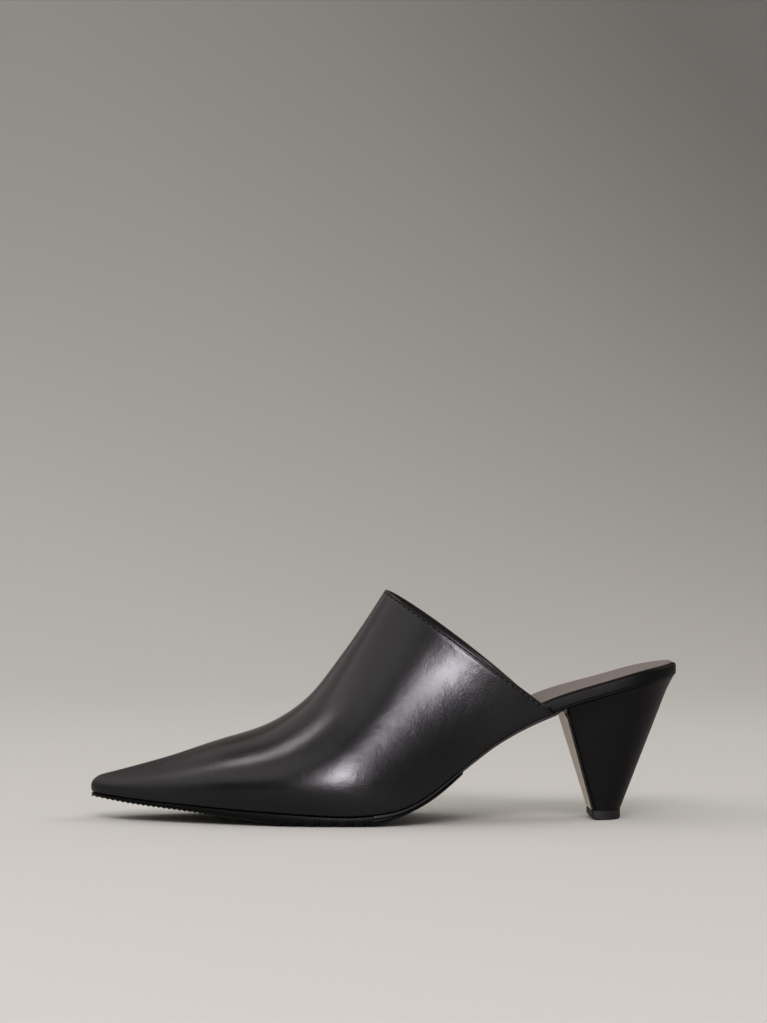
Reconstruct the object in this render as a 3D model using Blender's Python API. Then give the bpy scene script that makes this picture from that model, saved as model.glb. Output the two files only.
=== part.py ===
"""Cone heel mule, a left shoe: the pieces that a shoemaker joins, at their real size, in metres.

The toe points to -X, the outer side of the foot is -Y and the shoe stands on z = 0.
While the pieces are worked out, x counts from the toe of the last and the last line centres them.
"""
import math

import bmesh
import bpy
import numpy as np

# Last
LAST_LENGTH = 0.2698
BALL_WIDTH = 0.0720
TOE_SPRING = 0.0078
HEEL_RISE = 0.0628
INNER_WAIST_RISE = 0.0024
VAMP_HEIGHT = 0.0998
TOPLINE_END = 0.2106
TOPLINE_INNER_LEAD = 0.0042

# Upper
WALL = 0.0020
LASTING_MARGIN = 0.0100
LASTING_THICKNESS = 0.0015
FEATHER_ROUND = 0.0012
SIDE_FULLNESS = 0.0050
TOPLINE_BOW = 0.0031
TOE_OPENING_SETBACK = 0.0140

# Insole and sock
SEAT_THICKNESS = 0.0068
INSOLE_EASE = 0.0002
INSOLE_RIM = 0.0012
INSOLE_FOOT = 0.0005
SOCK_THICKNESS = 0.0008
SOCK_INSET = 0.0020
SOCK_START = 0.0120

# Sole
TREAD_THICKNESS = 0.0042
TREAD_OUTSET = 0.0022
TREAD_END = 0.1690
EDGE_ROLL = 0.0060
GROOVE_DEPTH = 0.0007
GROOVE_WIDTH = 0.0008
GROOVE_STEP = 0.0018
GROOVE_PITCH = 0.0074
GROOVE_PAIRS = 6
GROOVE_START = 0.0880
OUTSOLE_THICKNESS = 0.0012
OUTSOLE_START = 0.1290
WAIST_CROWN = 0.0032

# Heel
HEEL_TOP_LENGTH = 0.0532
HEEL_INSET = 0.0010
HEEL_FLARE = 0.0010
HEEL_FLARE_HEIGHT = 0.0090
HEEL_TURN = math.radians(3.0)
BREAST_FILLET = 0.0015
BREAST_CORNER = 0.0012
TIP_LENGTH = 0.0144
TIP_WIDTH = 0.0220
TIP_STRAIGHT = 0.0026
TIP_HEIGHT = 0.0044
TIP_SETBACK = 0.0263
TIP_FRONT_BEVEL = 0.0022
TIP_SIDE_BEVEL = 0.0005

# Space that curved pieces keep between them
GAP = 0.0003

OUTER = -1
INNER = 1
STATIONS = 44
TOE_STATION = 0.05
MIN_TURN = 0.012


def table(columns, rows):
    """The named columns of a table, each as an array."""
    return dict(zip(columns.split(), np.array(rows).T))


# Bottom of the last in plan. Along is a share of LAST_LENGTH from the toe,
# centre and half are shares of BALL_WIDTH.
PLAN = table("along centre half", [
    (0.000, 0.000, 0.000),
    (0.022, -0.004, 0.116),
    (0.093, -0.014, 0.250),
    (0.223, -0.034, 0.404),
    (0.360, -0.056, 0.496),
    (0.420, -0.068, 0.500),
    (0.494, -0.080, 0.470),
    (0.569, -0.080, 0.405),
    (0.643, -0.066, 0.342),
    (0.710, -0.046, 0.314),
    (0.781, -0.027, 0.318),
    (0.848, -0.012, 0.341),
    (0.903, 0.000, 0.350),
    (0.948, 0.008, 0.311),
    (0.978, 0.014, 0.222),
    (1.000, 0.018, 0.000),
])

# Feather line from the side. Toe, heel and inner are shares of TOE_SPRING, HEEL_RISE
# and INNER_WAIST_RISE above the ball.
FEATHER = table("along toe heel inner", [
    (0.000, 1.000, 0.000, 0.0),
    (0.065, 0.790, 0.000, 0.0),
    (0.130, 0.610, 0.000, 0.0),
    (0.200, 0.440, 0.000, 0.0),
    (0.270, 0.280, 0.000, 0.0),
    (0.340, 0.150, 0.000, 0.0),
    (0.400, 0.040, 0.000, 0.0),
    (0.440, 0.000, 0.002, 0.0),
    (0.480, 0.000, 0.014, 0.1),
    (0.520, 0.000, 0.044, 0.3),
    (0.561, 0.000, 0.122, 0.6),
    (0.627, 0.000, 0.334, 0.9),
    (0.685, 0.000, 0.517, 1.0),
    (0.740, 0.000, 0.649, 0.9),
    (0.785, 0.000, 0.732, 0.6),
    (0.862, 0.000, 0.841, 0.1),
    (0.931, 0.000, 0.924, 0.0),
    (1.000, 0.000, 1.000, 0.0),
])

# Ridge of the vamp from the side, above the feather line. Height is a share of VAMP_HEIGHT.
RIDGE = table("along height", [
    (0.019, 0.091),
    (0.067, 0.139),
    (0.136, 0.208),
    (0.219, 0.298),
    (0.290, 0.372),
    (0.335, 0.446),
    (0.370, 0.530),
    (0.413, 0.681),
    (0.455, 0.839),
    (0.499, 1.009),
])

# Where the section that starts at along on the feather line meets the ridge.
# Lean is 1 where the section lies in one plane and 0 where it fans around the toe.
FAN = table("along ridge lean", [
    (0.000, 0.019, 0.0),
    (0.041, 0.050, 0.0),
    (0.141, 0.134, 0.5),
    (0.271, 0.234, 1.0),
    (0.401, 0.318, 1.0),
    (0.539, 0.390, 1.0),
    (0.665, 0.448, 1.0),
    (0.782, 0.499, 1.0),
])

# Shape of the upper's sections. Side and top are the powers of the arch, outer and inner
# are shares of SIDE_FULLNESS, bow_outer and bow_inner shares of TOPLINE_BOW.
ARCH = table("along side top outer inner bow_outer bow_inner", [
    (0.000, 1.00, 0.90, 0.10, 0.10, 0.00, 0.00),
    (0.100, 0.97, 0.88, 0.22, 0.20, 0.00, 0.00),
    (0.250, 0.94, 0.88, 0.35, 0.25, 0.00, 0.00),
    (0.420, 0.94, 0.84, 0.45, 0.40, 0.00, 0.00),
    (0.540, 0.94, 0.80, 0.60, 0.80, 0.04, 0.15),
    (0.665, 0.92, 0.76, 0.70, 1.00, 0.13, 0.60),
    (0.782, 0.88, 0.74, 0.65, 0.90, 0.26, 1.00),
])

# Top of the insole above the feather line, as a share of SEAT_THICKNESS.
INSOLE = table("along top", [
    (0.000, 0.54),
    (0.150, 0.56),
    (0.400, 0.62),
    (0.600, 0.76),
    (0.700, 0.93),
    (0.780, 1.00),
    (0.880, 0.97),
    (0.940, 0.98),
    (1.000, 0.82),
])

# Depth of the tread below the feather line, as a share of TREAD_THICKNESS.
# Where it is deeper than the floor, the tread is flat.
TREAD = table("along depth", [
    (0.000, 0.42),
    (0.065, 0.58),
    (0.130, 0.66),
    (0.180, 0.76),
    (0.240, 0.94),
    (0.300, 1.20),
    (0.350, 1.50),
    (0.410, 1.45),
    (0.455, 1.30),
    (0.490, 1.00),
    (0.517, 0.76),
    (0.560, 0.70),
    (0.595, 0.76),
    (0.631, 0.50),
])

# Edge of the outsole beside the last and its crown across. Outset is in shares of
# TREAD_OUTSET, crown in shares of WAIST_CROWN.
OUTSOLE = table("along outset crown", [
    (0.470, 0.90, 0.0),
    (0.560, 0.88, 0.2),
    (0.610, 0.80, 0.8),
    (0.650, 0.72, 1.0),
    (0.690, 0.66, 0.7),
    (0.740, 0.50, 0.3),
    (0.780, 0.10, 0.1),
    (0.812, -0.70, 0.0),
])


def spline(places, values):
    """A natural cubic curve through the given values, as a function."""
    count = len(places)
    step = np.diff(places)
    slope = np.diff(values) / step
    matrix = np.eye(count)
    right = np.zeros(count)
    for row in range(1, count - 1):
        matrix[row, row - 1] = step[row - 1]
        matrix[row, row] = 2 * (step[row - 1] + step[row])
        matrix[row, row + 1] = step[row]
        right[row] = 6 * (slope[row] - slope[row - 1])
    bend = np.linalg.solve(matrix, right)

    def curve(at):
        piece = min(max(int(np.searchsorted(places, at)) - 1, 0), count - 2)
        width = step[piece]
        after = at - places[piece]
        before = places[piece + 1] - at
        return (
            (bend[piece] * before**3 + bend[piece + 1] * after**3) / (6 * width)
            + (values[piece] / width - bend[piece] * width / 6) * before
            + (values[piece + 1] / width - bend[piece + 1] * width / 6) * after
        )

    return curve


def curves(rows):
    """One curve for each column of a table, along the shoe."""
    return {name: spline(rows["along"], rows[name]) for name in rows if name != "along"}


def turn_at(x):
    """The plan's outline runs by an angle that is 0 at the toe and pi at the back, for round ends."""
    return math.acos(min(max(1 - 2 * x / LAST_LENGTH, -1.0), 1.0))


def x_at(turn):
    return LAST_LENGTH * (1 - math.cos(turn)) / 2


plan_turns = np.arccos(1 - 2 * PLAN["along"])
plan_centre = spline(plan_turns, PLAN["centre"])
plan_half = spline(plan_turns, PLAN["half"])
feather = curves(FEATHER)
ridge_height = spline(RIDGE["along"], RIDGE["height"])
fan = curves(FAN)
arch = curves(ARCH)
insole_top = spline(INSOLE["along"], INSOLE["top"])
tread_depth = spline(TREAD["along"], TREAD["depth"])
outsole = curves(OUTSOLE)


def stations(start, end):
    """Turns of the loops from start to end, twice as close in the bent waist.

    Every piece takes them from one list, so that faces which lie together bend together.
    """
    count = 2 * STATIONS
    turns = [math.pi * place / count for place in range(count + 1)]
    waist = range(round(0.42 * count), round(0.68 * count))
    kept = [turn for place, turn in enumerate(turns) if place % 2 == 0 or place in waist]
    inside = [turn for turn in kept if start + MIN_TURN < turn < end - MIN_TURN]
    return [start] + inside + [end]


def outline(turn, side):
    y = BALL_WIDTH * (plan_centre(turn) + side * plan_half(turn))
    return np.array([x_at(turn), y])


def outward(turn, side):
    """The direction that points away from the last, square to its outline."""
    nudge = 0.002
    along = outline(turn + nudge, side) - outline(turn - nudge, side)
    if abs(turn) < nudge:
        along = np.array([0.0, side])
    square = side * np.array([-along[1], along[0]])
    return square / np.linalg.norm(square)


def edge(turn, side, outset):
    return outline(turn, side) + outset * outward(turn, side)


def from_middle(x, y):
    """Where a place lies across the last, from -1 at its outer edge to 1 at its inner edge."""
    turn = turn_at(x)
    half = max(BALL_WIDTH * plan_half(turn), GAP)
    return min(max((y - BALL_WIDTH * plan_centre(turn)) / half, -1.0), 1.0)


def bottom(x, y):
    """Height of the last's bottom, straight across from the outer feather line to the inner one."""
    inner_share = from_middle(x, y) / 2 + 0.5
    along = min(max(x / LAST_LENGTH, 0.0), 1.0)
    height = TREAD_THICKNESS + GAP
    height += TOE_SPRING * feather["toe"](along)
    height += HEEL_RISE * feather["heel"](along)
    height += INNER_WAIST_RISE * feather["inner"](along) * inner_share
    return height


def crown(x, y):
    """How far the sole swells below the last's bottom in the waist."""
    share = outsole["crown"](x / LAST_LENGTH) if x > OUTSOLE_START else 0.0
    return WAIST_CROWN * max(share, 0.0) * (1 - from_middle(x, y) ** 2)


def ridge(along):
    """The highest point of the vamp's section."""
    x = LAST_LENGTH * along
    y = BALL_WIDTH * plan_centre(turn_at(x)) * 0.6
    z = bottom(x, y) + VAMP_HEIGHT * ridge_height(along)
    return np.array([x, y, z])


def base_turn(turn, side):
    """Where a section starts on its feather line. The inner end of the topline leads the outer one."""
    if side == OUTER:
        return turn
    x = x_at(turn)
    return turn_at(x - TOPLINE_INNER_LEAD * (x / TOPLINE_END) ** 8)


def wall_line(turn, side, depth, rows):
    """One side of a section, from the feather line up to the ridge, depth inside the upper's face."""
    along = x_at(turn) / LAST_LENGTH
    turn = base_turn(turn, side)
    away = np.append(outward(turn, side), 0.0)
    flat_base = edge(turn, side, WALL + GAP - depth)
    rise = FEATHER_ROUND if depth == 0 else LASTING_THICKNESS
    base = np.append(flat_base, bottom(*flat_base) + rise)
    top = ridge(fan["ridge"](along))
    down = base - top
    down[1] = 0.0
    down /= np.linalg.norm(down)
    top = top + depth * down
    back = np.array([-down[2], 0.0, down[0]])
    side_power = arch["side"](along)
    top_power = arch["top"](along)
    lean = min(max(fan["lean"](along), 0.0), 1.0)
    full = SIDE_FULLNESS * arch["outer" if side == OUTER else "inner"](along)
    bow = TOPLINE_BOW * arch["bow_outer" if side == OUTER else "bow_inner"](along)
    points = []
    for row in range(rows + 1):
        angle = math.pi / 2 * (row / rows) ** (1 / top_power)
        inward = 1 - max(math.cos(angle), 0.0) ** side_power
        upward = math.sin(angle) ** top_power
        share = np.array([lean * upward + (1 - lean) * inward, inward, upward])
        point = base + (top - base) * share
        point = point + away * full * math.sin(math.pi * upward)
        point = point + back * bow * (4 * upward * (1 - upward)) ** 0.75
        points.append(point)
    return points


def margin_line(turn, side, depth):
    """The turned-in lasting margin of a section, from its cut edge out to the feather line."""
    turn = base_turn(turn, side)
    tip = edge(0.0, side, WALL + GAP)
    flat_base = edge(turn, side, WALL + GAP - depth)
    centre = BALL_WIDTH * plan_centre(turn)
    outer_base = edge(turn, side, WALL + GAP)
    half = abs(outer_base[1] - centre)
    cut = np.array([
        tip[0] + math.hypot(outer_base[0] - tip[0], TOE_OPENING_SETBACK),
        centre + side * half**2 / (half + LASTING_MARGIN),
    ])
    away = outward(turn, side)
    rise = 0.0 if depth == 0 else LASTING_THICKNESS
    points = [np.append(cut, bottom(*cut) + rise)]
    for share, lift in ((1.0, 0.0), (0.3, 0.3)):
        flat = flat_base - away * FEATHER_ROUND * share
        lifted = FEATHER_ROUND * lift if depth == 0 else rise
        points.append(np.append(flat, bottom(*flat) + lifted))
    return points


def new_material(name, colour, roughness):
    material = bpy.data.materials.new(name)
    material.use_nodes = True
    shader = material.node_tree.nodes["Principled BSDF"]
    shader.inputs["Base Color"].default_value = (*colour, 1.0)
    shader.inputs["Roughness"].default_value = roughness
    shader.inputs["Metallic"].default_value = 0.0
    material.diffuse_color = (*colour, 1.0)
    return material


def add_solid(name, points, faces, material):
    """A closed mesh object whose faces point outward."""
    mesh = bpy.data.meshes.new(name)
    mesh.from_pydata([tuple(point) for point in points], [], faces)
    work = bmesh.new()
    work.from_mesh(mesh)
    bmesh.ops.recalc_face_normals(work, faces=work.faces)
    work.to_mesh(mesh)
    work.free()
    mesh.materials.append(material)
    solid = bpy.data.objects.new(name, mesh)
    bpy.context.scene.collection.objects.link(solid)
    return solid


def skin(loops):
    """Points and faces of a closed solid through loops of equal count.

    Each end is closed by rungs from one half of its loop to the other.
    """
    count = len(loops[0])
    points = [point for loop in loops for point in loop]
    faces = []
    for start in range(0, count * (len(loops) - 1), count):
        for place in range(count):
            after = (place + 1) % count
            faces.append((start + place, start + after, start + count + after, start + count + place))
    for start in (0, count * (len(loops) - 1)):
        for low in range((count - 1) // 2):
            high = count - 1 - low
            rung = [start + low, start + low + 1, start + high - 1, start + high]
            if high - low == 2:
                rung.remove(start + high - 1)
            faces.append(tuple(rung))
    return points, faces


def make_upper(material, rows=12):
    """One wall from the lasting margin over the vamp, open at the collar and underneath.

    Its columns run from the outer end of the topline around the toe to the inner end.
    """
    turns = stations(0.0, turn_at(TOPLINE_END))
    last = len(turns) - 1
    points = []
    places = {}

    def column(number, depth):
        side = OUTER if number < 0 else INNER
        turn = turns[abs(number)]
        line = margin_line(turn, side, depth) + wall_line(turn, side, depth, rows)
        for row, point in enumerate(line):
            shared = row == len(line) - 1
            key = (depth, abs(number) if shared else number, row)
            if key not in places:
                places[key] = len(points)
                points.append(point)
        return len(line)

    numbers = range(-last, last + 1)
    for number in numbers:
        for depth in (0, WALL):
            length = column(number, depth)

    def index(depth, number, row):
        return places[(depth, abs(number) if row == length - 1 else number, row)]

    faces = []
    for number in numbers[:-1]:
        for depth in (0, WALL):
            for row in range(length - 1):
                faces.append((
                    index(depth, number, row),
                    index(depth, number + 1, row),
                    index(depth, number + 1, row + 1),
                    index(depth, number, row + 1),
                ))
        faces.append((
            index(0, number, 0),
            index(0, number + 1, 0),
            index(WALL, number + 1, 0),
            index(WALL, number, 0),
        ))
    for number in (-last, last):
        for row in range(length - 1):
            faces.append((
                index(0, number, row),
                index(0, number, row + 1),
                index(WALL, number, row + 1),
                index(WALL, number, row),
            ))
    return add_solid("upper", points, faces, material)


def across(turn, outset, shares_and_heights):
    """Points of a loop across the shoe, each at a share from the outer edge and above the last's bottom."""
    outer = edge(turn, OUTER, outset)
    inner = edge(turn, INNER, outset)
    points = []
    for share, height in shares_and_heights:
        flat = outer + (inner - outer) * share
        points.append(np.append(flat, bottom(*flat) + height))
    return points


def width_at(turn, outset):
    return np.linalg.norm(edge(turn, INNER, outset) - edge(turn, OUTER, outset))


def make_insole(material):
    """The board with its leather wrap, inside the upper in front and bare at the seat."""
    step = TOPLINE_END + GAP
    before = stations(TOE_STATION, turn_at(step))
    behind = stations(turn_at(step + GAP), math.pi - TOE_STATION)
    loops = []
    for turn in before + behind:
        x = x_at(turn)
        low = LASTING_THICKNESS + GAP if x < step + GAP / 2 else 0.0
        high = SEAT_THICKNESS * insole_top(x / LAST_LENGTH)
        width = width_at(turn, -INSOLE_EASE)
        rim = min(INSOLE_RIM / width, 0.3)
        foot = min(INSOLE_FOOT / width, 0.3)
        loops.append(across(turn, -INSOLE_EASE, [
            (0.0, low + INSOLE_FOOT),
            (0.0, high - INSOLE_RIM),
            (rim * 0.3, high - INSOLE_RIM * 0.3),
            (rim, high),
            (0.5, high),
            (1 - rim, high),
            (1 - rim * 0.3, high - INSOLE_RIM * 0.3),
            (1.0, high - INSOLE_RIM),
            (1.0, low + INSOLE_FOOT),
            (1 - foot, low),
            (0.5, low),
            (foot, low),
        ]))
    return add_solid("insole", *skin(loops), material)


def make_sock(material):
    """The thin lining that the foot rests on, laid on the insole inside its rim."""
    loops = []
    for turn in stations(turn_at(SOCK_START), math.pi - TOE_STATION):
        low = SEAT_THICKNESS * insole_top(x_at(turn) / LAST_LENGTH) + GAP
        high = low + SOCK_THICKNESS
        loops.append(across(turn, -SOCK_INSET - INSOLE_EASE, [
            (0.0, low),
            (0.0, high),
            (0.5, high),
            (1.0, high),
            (1.0, low),
            (0.5, low),
        ]))
    return add_solid("sock", *skin(loops), material)


def groove_places():
    places = []
    for pair in range(GROOVE_PAIRS):
        first = GROOVE_START + pair * GROOVE_PITCH
        places += [first, first + GROOVE_STEP]
    return places


def make_tread(material):
    """The rubber forefoot, flat where it rests, with grooves that cross it and notch its sides."""
    ramp = GROOVE_WIDTH / 6
    cut_edge = OUTSOLE_START - GAP
    marks = {}
    for turn in stations(TOE_STATION, turn_at(TREAD_END)):
        marks[x_at(turn)] = 0.0
    grooves = groove_places()
    for place in grooves:
        for x in [x for x in marks if abs(x - place) < GROOVE_WIDTH]:
            del marks[x]
    for place in grooves:
        for offset, share in ((-1, 0.0), (1, 0.0)):
            marks[place + offset * GROOVE_WIDTH / 2] = share
            marks[place + offset * (GROOVE_WIDTH / 2 - ramp)] = 1.0
    marks[cut_edge - GAP] = 0.0
    marks[cut_edge] = 0.0
    loops = []
    for x in sorted(marks):
        turn = turn_at(x)
        top = -GAP
        if x >= cut_edge:
            top -= OUTSOLE_THICKNESS + GAP
        depth = max(TREAD_THICKNESS * tread_depth(x / LAST_LENGTH), OUTSOLE_THICKNESS + 2 * GAP)
        cut = GROOVE_DEPTH * marks[x]
        width = width_at(turn, TREAD_OUTSET)
        roll = min(EDGE_ROLL / width, 0.2)
        notch = cut / width
        loop = across(turn, TREAD_OUTSET, [
            (0.0, top),
            (0.25, top),
            (0.5, top),
            (0.75, top),
            (1.0, top),
        ])
        for point in loop:
            point[2] -= crown(point[0], point[1])
        under = across(turn, TREAD_OUTSET, [
            (1.0, 0.0),
            (1 - notch, 0.0),
            (1 - roll, 0.0),
            (0.75, 0.0),
            (0.25, 0.0),
            (roll, 0.0),
            (notch, 0.0),
            (0.0, 0.0),
        ])
        for place, point in enumerate(under):
            swollen = point[2] - crown(point[0], point[1])
            floor = max(swollen - GAP - depth, 0.0)
            ceiling = swollen + top
            thick = ceiling - floor
            if place in (0, 7):
                point[2] = ceiling - 0.3 * thick
            elif place in (1, 6):
                point[2] = floor + 0.2 * thick + cut * 0.5
            else:
                point[2] = floor + cut
        loops.append(loop + under)
    return add_solid("tread", *skin(loops), material)


def heel_axis_x(x, y):
    """The heel stands square to its own axis, which is turned from the shoe's."""
    return x - y * math.tan(HEEL_TURN)


def heel_sides(inset):
    """The heel's edge at the seat, outer side from breast to back, then inner side to the breast."""
    front = LAST_LENGTH - HEEL_TOP_LENGTH
    rows = 16
    lines = {}
    for side in (OUTER, INNER):
        corner_y = edge(turn_at(front), side, -inset)[1]
        start = turn_at(heel_axis_x(front, corner_y))
        line = []
        for row in range(rows + 1):
            share = max(row / rows, BREAST_CORNER / HEEL_TOP_LENGTH)
            turn = start + (math.pi - start) * share
            line.append(edge(turn, side, -inset))
        corner = np.array([heel_axis_x(front, corner_y), corner_y - side * BREAST_CORNER])
        lines[side] = [corner] + line
    return lines[OUTER] + lines[INNER][-2::-1]


def tip_sides(front_cut, inset):
    """The edge of the heel's tip, in the same order as its edge at the seat."""
    rows = 16
    back = LAST_LENGTH - TIP_SETBACK - inset
    front = LAST_LENGTH - TIP_SETBACK - TIP_LENGTH + front_cut
    half = TIP_WIDTH / 2 - inset
    round_length = back - front - TIP_STRAIGHT
    lines = {}
    for side in (OUTER, INNER):
        line = [(front, side * (half - BREAST_CORNER))]
        for row in range(rows + 1):
            angle = math.pi / 2 * row / rows
            straight = TIP_STRAIGHT if row else BREAST_CORNER
            line.append((front + straight + round_length * math.sin(angle), side * half * math.cos(angle)))
        lines[side] = [np.array([heel_axis_x(x, y), y]) for x, y in line]
    return lines[OUTER] + lines[INNER][-2::-1]


def heel_ring(share):
    """The heel's edge at a share of the way down from the seat to the tip."""
    breast_cover = OUTSOLE_THICKNESS + GAP
    seat_line = heel_sides(HEEL_INSET + HEEL_FLARE)
    flared = heel_sides(HEEL_INSET)
    tip_line = tip_sides(breast_cover, 0.0)
    tip_top = TIP_HEIGHT + GAP
    ring = []
    for straight, wide, low in zip(seat_line, flared, tip_line):
        top = bottom(*wide) - GAP
        drop = share * (top - tip_top)
        flare = max(1 - drop / HEEL_FLARE_HEIGHT, 0.0) ** 2
        flat = straight + (wide - straight) * flare
        flat = flat + (low - straight) * share
        ring.append(np.append(flat, top - drop))
    return ring


def make_heel(material):
    """The tapered block, hollowed at its top edge to meet the seat and flat at the breast."""
    shares = (0.0, 0.02, 0.045, 0.08, 0.3, 0.65, 1.0)
    return add_solid("heel", *skin([heel_ring(share) for share in shares]), material)


def make_top_piece(material):
    """The wearing tip under the heel, flat where it rests and bevelled at its front."""
    levels = (
        (TIP_HEIGHT, 0.0, 0.0),
        (0.0020, 0.0, 0.0),
        (0.0007, 0.35, 0.0),
        (0.0, 1.0, 1.0),
    )
    loops = []
    for height, front_share, side_share in levels:
        flat_ring = tip_sides(TIP_FRONT_BEVEL * front_share, TIP_SIDE_BEVEL * side_share)
        loops.append([np.append(flat, height) for flat in flat_ring])
    return add_solid("top_piece", *skin(loops), material)


def breast_line(share, side):
    """A point of the heel's breast edge, at a share of the way down."""
    ring = heel_ring(share)
    return ring[0] if side == OUTER else ring[-1]


def make_outsole(material):
    """The thin sheet under the waist, turned down over the heel's breast."""
    shares = (0.0, 0.25, 0.5, 0.75, 1.0)
    loops = []
    outer_top = breast_line(0.0, OUTER)
    inner_top = breast_line(0.0, INNER)
    bend_x = min(outer_top[0], inner_top[0]) - GAP - OUTSOLE_THICKNESS - BREAST_FILLET
    for turn in stations(turn_at(OUTSOLE_START), turn_at(bend_x)):
        along = x_at(turn) / LAST_LENGTH
        outset = TREAD_OUTSET * outsole["outset"](along)
        upper_face = across(turn, outset, [(share, -GAP) for share in shares])
        lower_face = across(turn, outset, [(share, -GAP - OUTSOLE_THICKNESS) for share in reversed(shares)])
        for point in lower_face:
            point[2] -= crown(point[0], point[1])
        loops.append(upper_face + lower_face)

    def sheet(back_outer, back_inner, front_outer, front_inner):
        back_face = [back_outer + (back_inner - back_outer) * share for share in shares]
        front_face = [front_outer + (front_inner - front_outer) * share for share in reversed(shares)]
        return back_face + front_face

    def corner(top, back_x, back_z, front_x, front_z):
        x = top[0] - GAP
        back = np.array([x - back_x, top[1], top[2] - back_z])
        front = np.array([x - OUTSOLE_THICKNESS - front_x, top[1], top[2] - OUTSOLE_THICKNESS - front_z])
        return back, front

    for angle in (math.pi / 4, math.pi / 2):
        forward = BREAST_FILLET * (1 - math.sin(angle))
        below = BREAST_FILLET * (1 - math.cos(angle))
        lower = below if angle > math.pi / 3 else 0.0
        outer_back, outer_front = corner(outer_top, 0.0, lower, forward, below)
        inner_back, inner_front = corner(inner_top, 0.0, lower, forward, below)
        loops.append(sheet(outer_back, inner_back, outer_front, inner_front))
    for share in (0.2, 0.5, 0.8, 1.0):
        outer = breast_line(share, OUTER) - np.array([GAP, 0.0, 0.0])
        inner = breast_line(share, INNER) - np.array([GAP, 0.0, 0.0])
        forward = np.array([OUTSOLE_THICKNESS, 0.0, 0.0])
        loops.append(sheet(outer, inner, outer - forward, inner - forward))
    return add_solid("outsole", *skin(loops), material)


def centre_on_origin(solids):
    """Stands the shoe on z = 0 with the middle of its box over the origin."""
    corners = np.array([vertex.co for solid in solids for vertex in solid.data.vertices])
    low = corners.min(axis=0)
    high = corners.max(axis=0)
    middle = (low + high) / 2
    for solid in solids:
        solid.location = (-middle[0], -middle[1], -low[2])


for old in list(bpy.data.objects):
    bpy.data.objects.remove(old, do_unlink=True)

black_leather = new_material("black_leather", (0.018, 0.016, 0.017), 0.42)
wrap_leather = new_material("wrap_leather", (0.020, 0.018, 0.018), 0.45)
brown_lining = new_material("brown_lining", (0.130, 0.110, 0.098), 0.60)
taupe_board = new_material("taupe_board", (0.210, 0.180, 0.155), 0.55)
black_rubber = new_material("black_rubber", (0.022, 0.021, 0.021), 0.70)
heel_cover = new_material("heel_cover", (0.019, 0.018, 0.019), 0.50)
charcoal_rubber = new_material("charcoal_rubber", (0.040, 0.038, 0.038), 0.60)

centre_on_origin([
    make_upper(black_leather),
    make_insole(wrap_leather),
    make_sock(brown_lining),
    make_tread(black_rubber),
    make_outsole(taupe_board),
    make_heel(heel_cover),
    make_top_piece(charcoal_rubber),
])
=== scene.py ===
"""The looks of a cone heel mule, a left shoe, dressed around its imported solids.

Lengths are in metres. The toe points to -X, the outer side of the foot is -Y, and the shoe
stands on z = 0. Pieces are worked out with x counted from the toe of the last, then set down
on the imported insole's place.
"""
import math

import bmesh
import bpy
import numpy as np
from mathutils.bvhtree import BVHTree
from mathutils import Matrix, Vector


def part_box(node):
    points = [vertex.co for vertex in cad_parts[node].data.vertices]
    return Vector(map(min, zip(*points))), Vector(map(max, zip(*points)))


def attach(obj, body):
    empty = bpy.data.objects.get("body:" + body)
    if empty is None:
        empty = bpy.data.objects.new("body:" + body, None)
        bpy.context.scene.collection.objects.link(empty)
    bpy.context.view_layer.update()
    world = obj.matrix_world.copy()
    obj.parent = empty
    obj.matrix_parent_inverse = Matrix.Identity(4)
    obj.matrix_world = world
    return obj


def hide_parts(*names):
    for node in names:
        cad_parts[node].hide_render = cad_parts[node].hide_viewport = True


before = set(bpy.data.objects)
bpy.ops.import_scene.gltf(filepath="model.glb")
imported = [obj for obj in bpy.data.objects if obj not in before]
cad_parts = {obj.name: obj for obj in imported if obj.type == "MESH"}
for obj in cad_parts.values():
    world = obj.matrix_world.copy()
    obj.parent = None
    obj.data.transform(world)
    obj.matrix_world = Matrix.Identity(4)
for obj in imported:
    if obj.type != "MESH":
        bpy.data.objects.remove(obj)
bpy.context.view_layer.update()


# Insole
# The board that everything is built on, wrapped in thin black leather that shows at the seat.
# The wrap is drawn round the board's edge and tucked under, which leaves a soft rim above and a
# fine tuck line just over the heel.
LAST_LENGTH = 0.2698
BALL_WIDTH = 0.0720
TOE_SPRING = 0.0078
HEEL_RISE = 0.0628
INNER_WAIST_RISE = 0.0024
LAST_FLOOR = 0.0045
SEAT_THICKNESS = 0.0068
LASTING_THICKNESS = 0.0015
TOPLINE_END = 0.2106
GAP = 0.0003
INSOLE_EASE = 0.0002
INSOLE_RIM = 0.0016
INSOLE_FOOT = 0.0005
TUCK_HEIGHT = 0.0009
TUCK_DEPTH = 0.00016
END_TURN = 0.05
BACK_TURN = math.pi - END_TURN / 3
WIDEST_TURNS = np.linspace(0.1, 3.0, 600)
OUTER = -1
INNER = 1


def table(columns, rows):
    """The named columns of a table, each as an array."""
    return dict(zip(columns.split(), np.array(rows).T))


# Bottom of the last in plan. Along is a share of LAST_LENGTH from the toe,
# centre and half are shares of BALL_WIDTH.
PLAN = table("along centre half", [
    (0.000, 0.000, 0.000),
    (0.022, -0.004, 0.116),
    (0.093, -0.014, 0.250),
    (0.223, -0.034, 0.404),
    (0.360, -0.056, 0.496),
    (0.420, -0.068, 0.500),
    (0.494, -0.080, 0.470),
    (0.569, -0.080, 0.405),
    (0.643, -0.066, 0.342),
    (0.710, -0.046, 0.314),
    (0.781, -0.027, 0.318),
    (0.848, -0.012, 0.341),
    (0.903, 0.000, 0.350),
    (0.948, 0.008, 0.311),
    (0.978, 0.014, 0.222),
    (1.000, 0.018, 0.000),
])

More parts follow.
